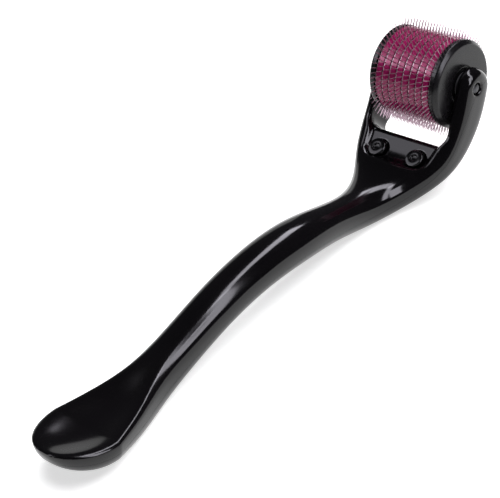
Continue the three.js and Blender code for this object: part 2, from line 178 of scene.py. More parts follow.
def station_values(place):
    """All station columns at each place, on the smooth curve."""
    i, t, s = station_span(place)
    bend = (s ** 3 - s) * BENDS[i] + (t ** 3 - t) * BENDS[i + 1]
    return s * STATIONS[i] + t * STATIONS[i + 1] + bend / 6


def station_slopes(place):
    """The side-view direction of the centre line at each place, not of unit length."""
    i, t, s = station_span(place)
    side_bends = BENDS[:, SIDE_COLUMNS]
    bend = (1 - 3 * s ** 2) * side_bends[i] + (3 * t ** 2 - 1) * side_bends[i + 1]
    return STATIONS[i + 1, SIDE_COLUMNS] - STATIONS[i, SIDE_COLUMNS] + bend / 6


def centre_line(place):
    """The station values at one place, and the unit directions along and up from the centre line."""
    values = station_values(np.array([place]))[0]
    slope = station_slopes(np.array([place]))[0]
    along = slope / np.linalg.norm(slope)
    return values, along, np.array((-along[1], along[0]))


def side_coordinates(side):
    """For side-view points: the nearest place, the height over the centre line, how far the point
    lies beyond either end, and the station values there."""
    guesses = np.linspace(0, LAST, LAST * GUESSES_PER_SPAN + 1)
    marks = station_values(guesses)[:, SIDE_COLUMNS]
    nearest = np.empty(len(side))
    for start in range(0, len(side), POINTS_AT_ONCE):
        part = side[start:start + POINTS_AT_ONCE]
        gap = ((part[:, None, :] - marks[None]) ** 2).sum(2)
        nearest[start:start + POINTS_AT_ONCE] = guesses[gap.argmin(1)]
    for _ in range(REFINING_ROUNDS):
        away = side - station_values(nearest)[:, SIDE_COLUMNS]
        slope = station_slopes(nearest)
        nearest = np.clip(nearest + (away * slope).sum(1) / (slope ** 2).sum(1), 0, LAST)
    values = station_values(nearest)
    slope = station_slopes(nearest)
    along = slope / np.linalg.norm(slope, axis=1)[:, None]
    away = side - values[:, SIDE_COLUMNS]
    height = away[:, 1] * along[:, 0] - away[:, 0] * along[:, 1]
    beyond = (away * along).sum(1)
    return nearest, height, beyond, values


# ---------- the handle as a distance field ----------

FLATTEST_BULGE = 3.4
DISH_EDGE_POWER = 1.5
DISH_LEAST_FADE = 0.05
DISH_END_DEPTH = 0.75
DISH_FADE_DEPTH = 0.6
LEAST_STEEPNESS = 0.02
TINY = 1e-9
FAR = 50


def smooth_max(a, b, width):
    blend = np.maximum(width - np.abs(a - b), 0)
    return np.maximum(a, b) + blend ** 2 / (4 * width)


def smooth_step(value):
    t = np.clip(value, 0, 1)
    return t * t * (3 - 2 * t)


def rounded_box(x, y, half_x, half_y, corner):
    """Distance to a rounded rectangle."""
    dx = np.abs(x) - half_x + corner
    dy = np.abs(y) - half_y + corner
    outside = np.hypot(np.maximum(dx, 0), np.maximum(dy, 0))
    return outside + np.minimum(np.maximum(dx, dy), 0) - corner


def dish_depth(across, height, below, dish, tail_end):
    """How far the thumb dish lowers the top. It fades out towards the sides, the tail's end and
    the underside."""
    near_top = smooth_step((height + DISH_END_DEPTH * below) / (DISH_FADE_DEPTH * below))
    tail_fade = np.maximum(1 - (tail_end / TAIL_ROUND) ** 2, 0)
    side_fade = np.maximum(1 - across ** 2 / np.maximum(tail_fade, DISH_LEAST_FADE), 0)
    return dish * near_top * tail_fade * side_fade ** DISH_EDGE_POWER


def body_distance(x, height, beyond, nearest, values):
    """Distance to the handle's plain body, before the fork is cut: a squarish oval swept along
    the stations, with rounded ends."""
    half, above, below, dish, square = values[:, SECTION_COLUMNS].T
    tail_end = np.where(nearest <= 0, np.maximum(-beyond, 0), 0)
    tip_end = np.where(nearest >= LAST, np.maximum(beyond, 0), 0)
    height = height - TAIL_CURL * tail_end ** 2
    across = np.abs(x) / half
    height = height + dish_depth(across, height, below, dish, tail_end)
    reach = np.where(height > 0, above, below)
    up = np.hypot(np.abs(height) / reach, tip_end / ARM_TIP_RADIUS)
    bulge = np.minimum(square, FLATTEST_BULGE)
    total = np.maximum(across ** square + up ** bulge, TINY)
    radius = total ** (1 / square)
    ratio = radius ** (1 - square)
    slope_x = ratio * across ** (square - 1) / half
    slope_up = ratio * (bulge / square) * up ** (bulge - 1) / reach
    ended = np.hypot(radius, tail_end / TAIL_ROUND)
    steepness = np.hypot(slope_x, slope_up) * radius / ended
    steepness = np.hypot(steepness, tail_end / TAIL_ROUND ** 2 / ended)
    return (ended - 1) / np.maximum(steepness, LEAST_STEEPNESS)


def peg_side_place():
    """The side-view point and outward direction of the pegs in the web."""
    places = np.linspace(WEB_START, WEB_END, WEB_GUESSES)
    values = station_values(places)
    along = values[:, 0] * math.sin(HEAD_LEAN) + values[:, 1] * math.cos(HEAD_LEAN)
    here, _, up = centre_line(places[np.abs(along - PEG_HEIGHT).argmin()])
    return here[SIDE_COLUMNS], up


PEG_POINT, PEG_OUT = peg_side_place()


def window_distance(x, back, along):
    """Distance to the fork's opening, which narrows to the bosses at the axle, and its half width."""
    taper = np.clip((BOSS_START - along) / (BOSS_START - WINDOW_BOTTOM), 0, 1)
    half = BOSS_X + (WINDOW_HALF_WIDTH - BOSS_X) * smooth_step(taper)
    middle = (WINDOW_TOP + WINDOW_BOTTOM) / 2
    sheared = along + WINDOW_SLOPE * back
    window = rounded_box(x, sheared - middle, half, (WINDOW_TOP - WINDOW_BOTTOM) / 2, WINDOW_CORNER)
    return window, half


def pocket_distance(x, height, along, nearest, half_window):
    """Distance to the shallow pocket in the web, between the arms."""
    half = half_window - POCKET_INSET - POCKET_TAPER * np.clip(POCKET_TOP - along, 0, POCKET_TAPER_LENGTH)
    middle = (POCKET_TOP + POCKET_BOTTOM) / 2
    plan = rounded_box(x, along - middle, half, (POCKET_TOP - POCKET_BOTTOM) / 2, POCKET_CORNER)
    in_head = np.where(nearest > HEAD_START, 0, FAR)
    return smooth_max(plan, POCKET_FLOOR - height, POCKET_FLOOR_BLEND) + in_head


def peg_hole_distance(x, side):
    """Distance to the two holes for the pegs."""
    along = (side - PEG_POINT) @ np.array((PEG_OUT[1], -PEG_OUT[0]))
    height = (side - PEG_POINT) @ PEG_OUT
    ring = np.hypot(np.abs(x) - PEG_X, along) - (PEG_RADIUS + PEG_GAP)
    return np.maximum(ring, POCKET_FLOOR - PEG_HOLE_DEPTH - height)


def handle_distance(points):
    """Distance field of the whole moulding: below zero inside."""
    x, y, z = points.T
    side = points[:, 1:]
    nearest, height, beyond, values = side_coordinates(side)
    solid = body_distance(x, height, beyond, nearest, values)
    solid = smooth_max(solid, -(z + FLOOR_DROP), FLOOR_BLEND)
    solid = smooth_max(solid, np.abs(x) - ARM_OUTER_X, ARM_BLEND)

    back = y * math.cos(HEAD_LEAN) - z * math.sin(HEAD_LEAN)
    along = y * math.sin(HEAD_LEAN) + z * math.cos(HEAD_LEAN)
    window, half_window = window_distance(x, back, along)
    solid = smooth_max(solid, -window, WINDOW_BLEND)
    pocket = pocket_distance(x, height, along, nearest, half_window)
    solid = smooth_max(solid, -pocket, POCKET_RIM_BLEND)

    from_axle = np.hypot(y, z)
    solid = smooth_max(solid, PIN_HOLE_RADIUS - from_axle, PIN_HOLE_BLEND)
    seat = np.minimum(BUSH_SEAT_RADIUS - from_axle, BUSH_SEAT_END - np.abs(x))
    solid = smooth_max(solid, seat, BUSH_SEAT_BLEND)
    return smooth_max(solid, -peg_hole_distance(x, side), PEG_HOLE_BLEND)


# ---------- a mesh over a distance field ----------

GRADIENT_STEP = 0.04
LEAST_SLOPE_SQUARED = 0.05
LARGEST_MOVE = 0.5


def field_gradient(field, points):
    """Gradient of a field by central differences."""
    parts = []
    for axis in range(3):
        shift = np.zeros(3)
        shift[axis] = GRADIENT_STEP
        parts.append((field(points + shift) - field(points - shift)) / (2 * GRADIENT_STEP))
    return np.stack(parts, 1)


def settle_on_surface(field, points, rounds):
    """Moves points down or up the field onto its zero surface."""
    for _ in range(rounds):
        value = field(points)
        gradient = field_gradient(field, points)
        size = np.maximum((gradient ** 2).sum(1), LEAST_SLOPE_SQUARED)
        move = np.clip(value / size, -LARGEST_MOVE, LARGEST_MOVE)
        points = points - gradient * move[:, None]
    return points


def field_grid(field, low, counts, cell):
    """The field's values on a grid, one slab of equal x at a time."""
    axes = [low[a] + cell * np.arange(counts[a]) for a in range(3)]
    side = np.stack(np.meshgrid(axes[1], axes[2], indexing="ij"), -1).reshape(-1, 2)
    grid = np.empty(counts)
    for i, x in enumerate(axes[0]):
        slab = np.column_stack([np.full(len(side), x), side])
        grid[i] = field(slab).reshape(counts[1:])
    return grid


def crossed_cell_points(grid, low, cell):
    """One point in each cell that the surface crosses, and the number of the point in each cell."""
    inside = grid < 0
    corners = [(a, b, c) for a in (0, 1) for b in (0, 1) for c in (0, 1)]
    shape = np.array(grid.shape) - 1

    def corner_block(values, corner):
        return values[tuple(slice(corner[a], corner[a] + shape[a]) for a in range(3))]

    filled = sum(corner_block(inside, c).astype(int) for c in corners)
    crossed = (filled > 0) & (filled < len(corners))
    cells = np.argwhere(crossed)
    number = np.full(shape, -1)
    number[crossed] = np.arange(len(cells))
    total = np.zeros((len(cells), 3))
    hits = np.zeros(len(cells))
    for first in corners:
        for axis in range(3):
            if first[axis] == 1:
                continue
            second = tuple(first[a] + (a == axis) for a in range(3))
            f0 = corner_block(grid, first)[crossed]
            f1 = corner_block(grid, second)[crossed]
            cut = (f0 < 0) != (f1 < 0)
            t = np.where(cut, f0 / np.where(cut, f0 - f1, 1), 0)
            spot = np.array(first) + t[:, None] * (np.arange(3) == axis)
            total += spot * cut[:, None]
            hits += cut
    return low + cell * (cells + total / hits[:, None]), number


def crossed_edge_quads(inside, number):
    """A quad round every grid edge that the surface crosses, facing outwards."""
    quads = []
    for axis in range(3):
        u, v = (axis + 1) % 3, (axis + 2) % 3
        before = [slice(None)] * 3
        after = [slice(None)] * 3
        before[axis], after[axis] = slice(0, -1), slice(1, None)
        for going_in in (True, False):
            a, b = inside[tuple(before)], inside[tuple(after)]
            edges = np.argwhere(~a & b if going_in else a & ~b)
            edges = edges[(edges[:, u] > 0) & (edges[:, v] > 0)]
            ring = []
            for du, dv in ((1, 1), (0, 1), (0, 0), (1, 0)):
                spot = edges.copy()
                spot[:, u] -= du
                spot[:, v] -= dv
                ring.append(number[tuple(spot.T)])
            quad = np.stack(ring, 1)
            quads.append(quad[:, ::-1] if going_in else quad)
    return np.concatenate(quads)


def surface_net(field, low, high, cell):
    """A quad mesh over the zero surface of a field, one point per crossed cell."""
    counts = np.ceil((high - low) / cell).astype(int) + 1
    grid = field_grid(field, low, counts, cell)
    points, number = crossed_cell_points(grid, low, cell)
    return points, crossed_edge_quads(grid < 0, number)


def relax(points, quads, strength):
    """Moves each point part of the way to the middle of its neighbours."""
    pairs = np.concatenate([quads[:, [k, (k + 1) % 4]] for k in range(4)])
    total = np.zeros_like(points)
    count = np.zeros(len(points))
    for a, b in ((0, 1), (1, 0)):
        np.add.at(total, pairs[:, a], points[pairs[:, b]])
        np.add.at(count, pairs[:, a], 1)
    return points + strength * (total / count[:, None] - points)


# The meshed space, a little larger than the handle on all sides
GRID_LOW = np.array((-16.2, -136.5, -FLOOR_DROP - 1.0))
GRID_HIGH = np.array((16.2, 9.0, 10.0))
FINE_CELL = 0.36
RELAX_STRENGTH = 0.5
SETTLING_ROUNDS = 3


def handle_surface():
    cell = FINE_CELL
    points, quads = surface_net(handle_distance, GRID_LOW, GRID_HIGH, cell)
    points = settle_on_surface(handle_distance, points, 1)
    points = relax(points, quads, RELAX_STRENGTH)
    return settle_on_surface(handle_distance, points, SETTLING_ROUNDS), quads


# ---------- cutting the moulding along its parting line ----------

PARTING_REACH = 18
PARTING_REACH_STEP = 3
PARTING_POINTS_PER_SPAN = 4


def parting_path():
    """The parting line in the side view: from beyond the tail, through the axle, to behind the tips."""
    start, along, up = centre_line(0.0)
    path = []
    for reach in range(PARTING_REACH, 0, -PARTING_REACH_STEP):
        rise = start[PARTING_COLUMN] + TAIL_CURL * reach ** 2
        path.append(start[SIDE_COLUMNS] - along * reach + up * rise)
    for place in np.linspace(0, LAST - 1, (LAST - 1) * PARTING_POINTS_PER_SPAN + 1):
        values, _, up = centre_line(place)
        path.append(values[SIDE_COLUMNS] + up * values[PARTING_COLUMN])
    path.append(np.zeros(2))
    path.append(np.array((
        PARTING_END_BEHIND * math.cos(HEAD_LEAN) + PARTING_END_ALONG * math.sin(HEAD_LEAN),
        PARTING_END_ALONG * math.cos(HEAD_LEAN) - PARTING_END_BEHIND * math.sin(HEAD_LEAN))))
    return np.array(path)


def parting_side(points):
    """Signed distance from the parting line in the side view: above zero on the front shell."""
    path = parting_path()
    side = points[:, 1:]
    best = np.full(len(side), np.inf)
    signed = np.zeros(len(side))
    for a, b in zip(path[:-1], path[1:]):
        run = b - a
        t = np.clip(((side - a) @ run) / (run @ run), 0, 1)
        away = side - a - t[:, None] * run
        gap = np.linalg.norm(away, axis=1)
        hand = np.sign(run[0] * away[:, 1] - run[1] * away[:, 0])
        closer = gap < best - TINY
        best[closer] = gap[closer]
        signed[closer] = (gap * hand)[closer]
    return signed


def keep_side(points, quads, value):
    """The part of a mesh where value is above zero, cut cleanly along zero."""
    points = [tuple(p) for p in points]
    value = list(value)
    made = {}
    faces = []

    def crossing(a, b):
        key = (min(a, b), max(a, b))
        if key not in made:
            t = value[a] / (value[a] - value[b])
            made[key] = len(points)
            points.append(tuple(np.array(points[a]) + t * (np.array(points[b]) - np.array(points[a]))))
            value.append(0.0)
        return made[key]

    for quad in quads:
        ring = []
        for k in range(4):
            a, b = int(quad[k]), int(quad[(k + 1) % 4])
            if value[a] > 0:
                ring.append(a)
            if (value[a] > 0) != (value[b] > 0):
                ring.append(crossing(a, b))
        if len(ring) > 2:
            faces.append(ring)
    used = sorted({i for face in faces for i in face})
    place = {old: new for new, old in enumerate(used)}
    return np.array([points[i] for i in used]), [[place[i] for i in face] for face in faces]


# ---------- making Blender objects ----------

def add_mesh(name, points, faces, material, smooth=True):
    """An object from points in millimetres about the axle."""
    mesh = bpy.data.meshes.new(name)
    placed = (np.asarray(points) + AXLE) * MM
    mesh.from_pydata([tuple(p) for p in placed], [], [list(map(int, f)) for f in faces])
    mesh.validate()
    mesh.polygons.foreach_set("use_smooth", [smooth] * len(mesh.polygons))
    mesh.materials.append(material)
    piece = bpy.data.objects.new(name, mesh)
    bpy.context.scene.collection.objects.link(piece)
    return piece


def stand_in(piece, body, slot, *nodes):
    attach(piece, body)
    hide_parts(*nodes)


# ---------- the two shells ----------

PARTING_GAP = 0.05
SHELL_WALL = 0.3
SPLIT_ANGLE = math.radians(50)


def shell(name, node, points, quads, hand, material):
    """One half of the moulding, as a thin wall inside its surface. Hand is 1 for the front half
    and -1 for the back."""
    value = parting_side(points) * hand - PARTING_GAP / 2
    cut, faces = keep_side(points, quads, value)
    piece = add_mesh(name, cut, faces, material)
    wall = piece.modifiers.new("wall", "SOLIDIFY")
    wall.thickness = SHELL_WALL * MM
    wall.offset = -1
    edges = piece.modifiers.new("edges", "EDGE_SPLIT")
    edges.split_angle = SPLIT_ANGLE
    stand_in(piece, "handle", "gloss_black_shell", node)


# ---------- turned pieces ----------

FILLET_POINTS = 6


def soft_profile(corners):
    """A closed profile of [x, radius] points from [x, radius, fillet] corners."""
    outline = []
    count = len(corners)
    for i, (x, radius, fillet) in enumerate(corners):
        corner = np.array((x, radius), float)
        if fillet <= 0:
            outline.append(corner)
            continue
        to_last = np.array(corners[i - 1][:2], float) - corner
        to_next = np.array(corners[(i + 1) % count][:2], float) - corner
        start = corner + to_last / np.linalg.norm(to_last) * fillet
        end = corner + to_next / np.linalg.norm(to_next) * fillet
        for t in np.linspace(0, 1, FILLET_POINTS):
            outline.append((1 - t) ** 2 * start + 2 * t * (1 - t) * corner + t ** 2 * end)
    return outline


def revolve(profile, segments):
    """Points and faces of a profile turned about X. A profile that starts and ends on the axis
    closes there; any other closes on itself."""
    on_axis = profile[0][1] < TINY
    body = profile[1:-1] if on_axis else profile
    points, faces = [], []
    for k in range(segments):
        angle = 2 * math.pi * k / segments
        points += [(x, r * math.cos(angle), r * math.sin(angle)) for x, r in body]
    count = len(body)
    steps = count - 1 if on_axis else count
    for k in range(segments):
        here, there = k * count, (k + 1) % segments * count
        for i in range(steps):
            j = (i + 1) % count
            faces.append((here + i, there + i, there + j, here + j))
    if on_axis:
        points += [(profile[0][0], 0, 0), (profile[-1][0], 0, 0)]
        first, last = len(points) - 2, len(points) - 1
        for k in range(segments):
            here, there = k * count, (k + 1) % segments * count
            faces.append((first, there, here))
            faces.append((last, here + count - 1, there + count - 1))
    return np.array(points, float), faces


def turned_piece(name, corners, segments, material, body, slot, side=1):
    """A turned piece that stands in for the node of its name. Side -1 makes it point to -X."""
    points, faces = revolve(soft_profile(corners), segments)
    if side < 0:
        points[:, :2] *= -1
    piece = add_mesh(name, points, faces, material)
    stand_in(piece, body, slot, name.removesuffix("_look"))


def span(node):
    """A node's lowest and highest x, and its outer radius about the axle."""
    low, high = node_box(node)
    return low[0], high[0], (high[2] - low[2]) / 2


SIDES = (("left", -1), ("right", 1))
SMALL_SEGMENTS = 64
RING_SEGMENTS = 96
CAP_SEGMENTS = 128

# The fillet of an edge that isn't given one of its own
EDGE = 0.1

PIN_BORE = 2.1
HUB_BORE = 2.4
HUB_RECESS_RADIUS = 4.5
HUB_RECESS_DEPTH = 2.5
RING_BORE = 6.3
CAP_SPIGOT_RADIUS = 4.2
CAP_SPIGOT_LENGTH = 2.2
CAP_BEVEL = 0.9
CAP_DISH_RADIUS = 4.6
CAP_DISH_FLOOR_RADIUS = 4.3
CAP_DISH_DEPTH = 0.25
PIN_END_RADIUS = 1.3
PIN_SHOULDER = 12.9
PIN_DOME_HEIGHT = 0.4
PIN_DOME_RADIUS = 0.7
PIN_DOME_TOP = 0.05
BUSH_RADIUS = 2.4
BUSH_FLANGE = 0.3
PEG_HEAD_DROP = 0.1
PEG_HEAD_BEVEL = 0.6
PEG_DIMPLE_RADIUS = 0.95
PEG_DIMPLE_FLOOR_RADIUS = 0.75
PEG_DIMPLE_DEPTH = 0.45


def add_spacers(material):
    for node in ring_names:
        low, high, radius = span(node)
        turned_piece(node + "_look", [
            (low, radius, 0.14), (high, radius, 0.14), (high, RING_BORE, EDGE), (low, RING_BORE, EDGE),
        ], RING_SEGMENTS, material, "roller", "magenta_plastic")


def add_caps(material):
    """Black discs with a bevelled rim, a shallow dish round the pin and a spigot that faces inwards."""
    for word, side in SIDES:
        low, high, radius = span("end_cap_" + word)
        outer = high if side > 0 else -low
        inner_end = low if side > 0 else -high
        face = inner_end + CAP_SPIGOT_LENGTH
        dish = outer - CAP_DISH_DEPTH
        turned_piece(f"end_cap_{word}_look", [
            (face, radius, 0.12), (outer - CAP_BEVEL, radius, 0.3), (outer, radius - CAP_BEVEL, 0.3),
            (outer, CAP_DISH_RADIUS, EDGE), (dish, CAP_DISH_FLOOR_RADIUS, EDGE), (dish, PIN_BORE, EDGE),
            (inner_end, PIN_BORE, EDGE), (inner_end, CAP_SPIGOT_RADIUS, 0.15),
            (face, CAP_SPIGOT_RADIUS, EDGE),
        ], CAP_SEGMENTS, material, "roller", "cap_black", side)


def add_hub(material):
    low, high, radius = span("hub_core")
    floor_low, floor_high = low + HUB_RECESS_DEPTH, high - HUB_RECESS_DEPTH
    turned_piece("hub_core_look", [
        (low, radius, 0.2), (high, radius, 0.2), (high, HUB_RECESS_RADIUS, EDGE),
        (floor_high, HUB_RECESS_RADIUS, EDGE), (floor_high, HUB_BORE, EDGE), (floor_low, HUB_BORE, EDGE),
        (floor_low, HUB_RECESS_RADIUS, EDGE), (low, HUB_RECESS_RADIUS, EDGE),
    ], SMALL_SEGMENTS, material, "roller", "magenta_plastic")


def add_axle(pin_material, bush_material):
    """The pin with its thinner domed ends, and a flanged bush in each arm."""
    low, high, radius = span("axle_pin")
    turned_piece("axle_pin_look", [
        (low, 0, 0), (low + PIN_DOME_TOP, PIN_DOME_RADIUS, 0.3),
        (low + PIN_DOME_HEIGHT, PIN_END_RADIUS, 0.2), (-PIN_SHOULDER, PIN_END_RADIUS, EDGE),
        (-PIN_SHOULDER, radius, EDGE), (PIN_SHOULDER, radius, EDGE),
        (PIN_SHOULDER, PIN_END_RADIUS, EDGE), (high - PIN_DOME_HEIGHT, PIN_END_RADIUS, 0.2),
        (high - PIN_DOME_TOP, PIN_DOME_RADIUS, 0.3), (high, 0, 0),
    ], SMALL_SEGMENTS, pin_material, "handle", "pin_steel")
    for word, side in SIDES:
        low, high, flange = span("axle_bush_" + word)
        start, end = (low, high) if side > 0 else (-high, -low)
        shoulder = start + BUSH_FLANGE
        turned_piece(f"axle_bush_{word}_look", [
            (start, flange, 0.08), (shoulder, flange, 0.08), (shoulder, BUSH_RADIUS, 0.05),
            (end, BUSH_RADIUS, EDGE), (end, PIN_BORE, EDGE), (start, PIN_BORE, EDGE),
        ], SMALL_SEGMENTS, bush_material, "handle", "bush_plastic", side)


def add_pegs(material):
    """Plugs that stand a little proud of the pocket's floor, with a dimple in the head."""
    dimple_floor = PEG_PROUD - PEG_DIMPLE_DEPTH
    profile = soft_profile([
        (-PEG_DEPTH, 0, 0), (-PEG_DEPTH, PEG_RADIUS, 0.2), (PEG_PROUD - PEG_HEAD_DROP, PEG_RADIUS, 0.3),
        (PEG_PROUD, PEG_RADIUS - PEG_HEAD_BEVEL, 0.3), (PEG_PROUD, PEG_DIMPLE_RADIUS, 0.12),
        (dimple_floor, PEG_DIMPLE_FLOOR_RADIUS, 0.15), (dimple_floor, 0, 0),
    ])
    turned_points, faces = revolve(profile, SMALL_SEGMENTS)
    out = np.array((0, *PEG_OUT))
    across = np.array((1.0, 0, 0))
    third = np.cross(out, across)
    for word, side in SIDES:
        base = np.array((side * PEG_X, *(PEG_POINT + PEG_OUT * POCKET_FLOOR)))
        points = base + turned_points @ np.array([out, across, third])
        piece = add_mesh(f"lock_peg_{word}_look", points, faces, material)
        stand_in(piece, "handle", "gloss_black_shell", f"lock_peg_{word}")


# ---------- needle discs ----------

NEEDLES = 60
PITCH = 2 * math.pi / NEEDLES
PHASE_STEP = 1 / 3
NEEDLE_ROOT = 10.35
SPIKE_HALF_WIDTH = 0.14
SPIKE_CORNERS = ((1, 1), (1, -1), (-1, -1), (-1, 1))


def spike_stages(tip_radius):
    """The stages of a spike: a radius, and the width and thickness there as shares of the full ones."""
    return (
        (NEEDLE_ROOT - 0.3, 1.0, 0.9),
        (NEEDLE_ROOT + 0.55, 0.8, 0.8),
        (tip_radius - 0.45, 0.42, 0.42),
        (tip_radius, 0.08, 0.1),
    )


def spike_points(angle, middle, half_thickness, stages):
    """Four points round each stage. Angle zero is at -Z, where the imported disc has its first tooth."""
    radial = np.array((0, math.sin(angle), -math.cos(angle)))
    around = np.array((0, math.cos(angle), math.sin(angle)))
    points = []
    for radius, wide, thick in stages:
        centre = radial * radius + np.array((middle, 0, 0))
        for a, b in SPIKE_CORNERS:
            sideways = around * a * SPIKE_HALF_WIDTH * wide
            points.append(tuple(centre + sideways + np.array((b * half_thickness * thick, 0, 0))))
    return points


def spike_faces(start, stage_count):
    """The sides, tip and root of a spike whose points begin at start."""
    faces = []
    for s in range(stage_count - 1):
        low, high = start + 4 * s, start + 4 * s + 4
        for c in range(4):
            d = (c + 1) % 4
            faces.append((low + c, high + c, high + d, low + d))
    top = start + 4 * (stage_count - 1)
    faces.append((top + 3, top + 2, top + 1, top))
    faces.append((start, start + 1, start + 2, start + 3))
    return faces


def needle_disc(node, number, material):
    """A stamped ring with a slim tapered spike at every pitch."""
    low, high, tip_radius = span(node)
    ring_points, ring_faces = revolve([
        np.array((low, NEEDLE_ROOT)), np.array((high, NEEDLE_ROOT)),
        np.array((high, RING_BORE)), np.array((low, RING_BORE)),
    ], NEEDLES)
    points, faces = list(map(tuple, ring_points)), list(ring_faces)
    middle = (low + high) / 2
    half_thickness = (high - low) / 2
    stages = spike_stages(tip_radius)
    for k in range(NEEDLES):
        angle = (k + number * PHASE_STEP) * PITCH
        faces += spike_faces(len(points), len(stages))
        points += spike_points(angle, middle, half_thickness, stages)
    piece = add_mesh(node + "_look", points, faces, material, smooth=False)
    stand_in(piece, "roller", "needle_steel", node)


# ---------- materials ----------

# The part of the noise's range that tints and gloss are spread over
NOISE_LOW = 0.3
NOISE_HIGH = 0.7


def new_material(name):
    material = bpy.data.materials.new(name)
    material.use_nodes = True
    nodes = material.node_tree.nodes
    shader = nodes["Principled BSDF"]
    return material, nodes, material.node_tree.links, shader


def object_noise(nodes, links, scale, detail):
    coordinates = nodes.new("ShaderNodeTexCoord")
    noise = nodes.new("ShaderNodeTexNoise")
    noise.inputs["Scale"].default_value = scale
    noise.inputs["Detail"].default_value = detail
    links.new(coordinates.outputs["Object"], noise.inputs["Vector"])
    return noise.outputs["Fac"]


def tint_range(nodes, links, source, low, high):
    """A colour between two tints, by a noise value."""
    node = nodes.new("ShaderNodeValToRGB")
    stops = ((NOISE_LOW, low), (NOISE_HIGH, high))
    for element, (position, color) in zip(node.color_ramp.elements, stops):
        element.position = position
        element.color = (*color, 1)
    links.new(source, node.inputs["Fac"])
    return node.outputs["Color"]


def roughness_range(nodes, links, source, low, high):
    """A roughness between two values, by a noise value."""
    node = nodes.new("ShaderNodeMapRange")
    node.inputs["From Min"].default_value = NOISE_LOW
    node.inputs["From Max"].default_value = NOISE_HIGH
    node.inputs["To Min"].default_value = low
    node.inputs["To Max"].default_value = high
    links.new(source, node.inputs["Value"])
    return node.outputs["Result"]


def clouded_material(name, scale, detail, tints, roughness):
    """A material whose colour and gloss drift a little over the surface."""
    material, nodes, links, shader = new_material(name)
    cloud = object_noise(nodes, links, scale, detail)
    links.new(tint_range(nodes, links, cloud, *tints), shader.inputs["Base Color"])
    links.new(roughness_range(nodes, links, cloud, *roughness), shader.inputs["Roughness"])
    return material, nodes, links, shader


def small_bump(nodes, links, source, shader, strength, distance):
    bump = nodes.new("ShaderNodeBump")
    bump.inputs["Strength"].default_value = strength
    bump.inputs["Distance"].default_value = distance
    links.new(source, bump.inputs["Height"])
    links.new(bump.outputs["Normal"], shader.inputs["Normal"])


def gloss_black():
    """Polished black moulding: faint flow clouding in the gloss and a trace of orange peel."""
    tints = ((0.0014, 0.0012, 0.0016), (0.0024, 0.002, 0.0026))
    material, nodes, links, shader = clouded_material("gloss_black_shell", 60, 4, tints, (0.09, 0.13))
    small_bump(nodes, links, object_noise(nodes, links, 900, 2), shader, 0.03, 0.00002)
    shader.inputs["IOR"].default_value = 1.5
    shader.inputs["Specular IOR Level"].default_value = 0.3
    return material


def cap_black():
    """Satin black with a very fine grain."""
    tints = ((0.003, 0.0028, 0.0034), (0.005, 0.0046, 0.0056))
    material, nodes, links, shader = clouded_material("cap_black", 140, 4, tints, (0.2, 0.3))
    small_bump(nodes, links, object_noise(nodes, links, 2500, 2), shader, 0.08, 0.00002)
    shader.inputs["Specular IOR Level"].default_value = 0.22
    return material


def magenta():
    """Deep magenta moulding under a clear, well polished skin."""
    tints = ((0.185, 0.003, 0.055), (0.225, 0.005, 0.07))
    material, nodes, links, shader = clouded_material("magenta_plastic", 300, 3, tints, (0.25, 0.35))
    small_bump(nodes, links, object_noise(nodes, links, 1800, 2), shader, 0.1, 0.00003)
    shader.inputs["Specular IOR Level"].default_value = 0.05
    shader.inputs["Metallic"].default_value = 0.15
    shader.inputs["Coat Weight"].default_value = 0.4
    shader.inputs["Coat Roughness"].default_value = 0.05
    return material


def steel_of_needles():
    """Fine steel, tinted pink: the pink is a painted reflection of the drum's magenta."""
    # The pink in these tints is a painted reflection of the magenta spacers; the grey is the steel's own
    # colour.
    tints = ((0.38, 0.27, 0.31), (0.48, 0.35, 0.40))
    material, _, _, shader = clouded_material("needle_steel", 700, 4, tints, (0.3, 0.45))
    shader.inputs["Metallic"].default_value = 0.8
    return material


def steel_of_pin():
    """Dark oiled steel."""
    tints = ((0.04, 0.04, 0.043), (0.06, 0.06, 0.064))
    material, _, _, shader = clouded_material("pin_steel", 500, 4, tints, (0.25, 0.4))
    shader.inputs["Metallic"].default_value = 1.0
    return material


def bush_plastic():
    """Plain dull black."""
    tints = ((0.010, 0.009, 0.011), (0.015, 0.014, 0.016))
    return clouded_material("bush_plastic", 400, 3, tints, (0.4, 0.55))[0]


def floor_paper():
    """Pale paper that glows a little, so that the ground stays white."""
    material, nodes, links, shader = new_material("floor_paper")
    cloud = object_noise(nodes, links, 40, 3)
    tint = tint_range(nodes, links, cloud, (0.86, 0.86, 0.865), (0.88, 0.88, 0.885))
    links.new(tint, shader.inputs["Base Color"])
    shader.inputs["Roughness"].default_value = 0.9
    shader.inputs["Specular IOR Level"].default_value = 0.1
    shader.inputs["Emission Color"].default_value = (1, 1, 1, 1)
    shader.inputs["Emission Strength"].default_value = 0.65
    return material


# ---------- studio ----------

# The camera sees the axle this far right of and above the middle of its view, in millimetres.
AXLE_RIGHT = 43.19
AXLE_ABOVE = 42.01
CAMERA_DISTANCE = 387.56
CAMERA_AZIMUTH = math.radians(49.93)
CAMERA_ELEVATION = math.radians(35.9)
CAMERA_ROLL = math.radians(13.34)
LENS = 115.2
SENSOR_WIDTH = 36
CLIP_START = 0.01
CLIP_END = 20

WHITE = (1, 1, 1)
LAVENDER = (0.93, 0.91, 1.0)
LIGHT_TARGET = (0, 0, 0.015)
KEY_DIRECTION = (0.12, 0.4, 0.9)
KEY_DISTANCE = 1.0
KEY_SIZE = 1.3
KEY_RADIANCE = 4.4
REFLECTOR_DISTANCE = 1.2
FLOOR_HALF_SIZE = 3.0

